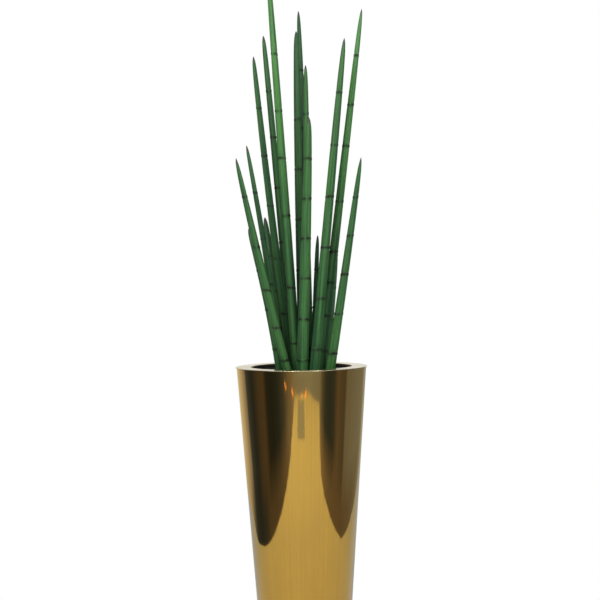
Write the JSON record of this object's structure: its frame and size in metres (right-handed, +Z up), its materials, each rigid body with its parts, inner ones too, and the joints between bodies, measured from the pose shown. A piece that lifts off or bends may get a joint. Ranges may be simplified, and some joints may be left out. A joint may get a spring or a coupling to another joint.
{
  "type": "brass planter pot",
  "caption": "Tall round tapered brass planter with a flat rim plate, a lift-out black liner with wire handles, and upright cylindrical snake-plant spears.",
  "frame": {"origin": "on the floor, under the middle of the pot", "axes": "+Z up along the pot's axis, -Y towards the front, +X to the right seen from the front"},
  "size_m": [0.34, 0.34, 1.758],
  "materials": {
    "polished_brass": "polished, fine vertical brush lines",
    "satin_brass": "satin",
    "plain_brass": "unpolished",
    "black_steel": "black paint",
    "foot_rubber": "matt",
    "concrete": "cast concrete",
    "liner_plastic": "satin black",
    "clip_plastic": "satin black",
    "handle_wire": "black oxide",
    "floral_foam": "open-cell foam",
    "dressing": "dark granules",
    "spear_green": "painted green with dark bands and brown tips"
  },
  "bodies": {
    "pot": {"outer_shell": "polished_brass", "rim_plate": "satin_brass", "liner_seat_ring": "plain_brass", "base_plate": "black_steel", "foot_1": "foot_rubber", "foot_2": "foot_rubber", "foot_3": "foot_rubber", "foot_4": "foot_rubber", "ballast": "concrete"},
    "liner": {"liner": "liner_plastic", "foam_block": "floral_foam", "top_dressing": "dressing", "handle_clip_1": "clip_plastic", "handle_clip_2": "clip_plastic", "handle_clip_3": "clip_plastic", "handle_clip_4": "clip_plastic", "spear_01": "spear_green", "spear_02": "spear_green", "spear_03": "spear_green", "spear_04": "spear_green", "spear_05": "spear_green", "spear_06": "spear_green", "spear_07": "spear_green", "spear_08": "spear_green", "spear_09": "spear_green", "spear_10": "spear_green", "spear_11": "spear_green", "spear_12": "spear_green", "spear_13": "spear_green", "spear_14": "spear_green", "spear_15": "spear_green", "spear_16": "spear_green"},
    "handle_front": {"handle_front": "handle_wire"},
    "handle_back": {"handle_back": "handle_wire"}
  },
  "joints": [
    {"name": "liner_lift", "type": "slide", "parent": "pot", "child": "liner", "axis": [0, 0, 1], "range_m": [0, 0.36]},
    {"name": "handle_front_swing", "type": "hinge", "parent": "liner", "child": "handle_front", "pos_m": [0, -0.1, 0.698], "axis": [1, 0, 0], "range_deg": [-8, 172]},
    {"name": "handle_back_swing", "type": "hinge", "parent": "liner", "child": "handle_back", "pos_m": [0, 0.1, 0.698], "axis": [-1, 0, 0], "range_deg": [-8, 172]}
  ]
}
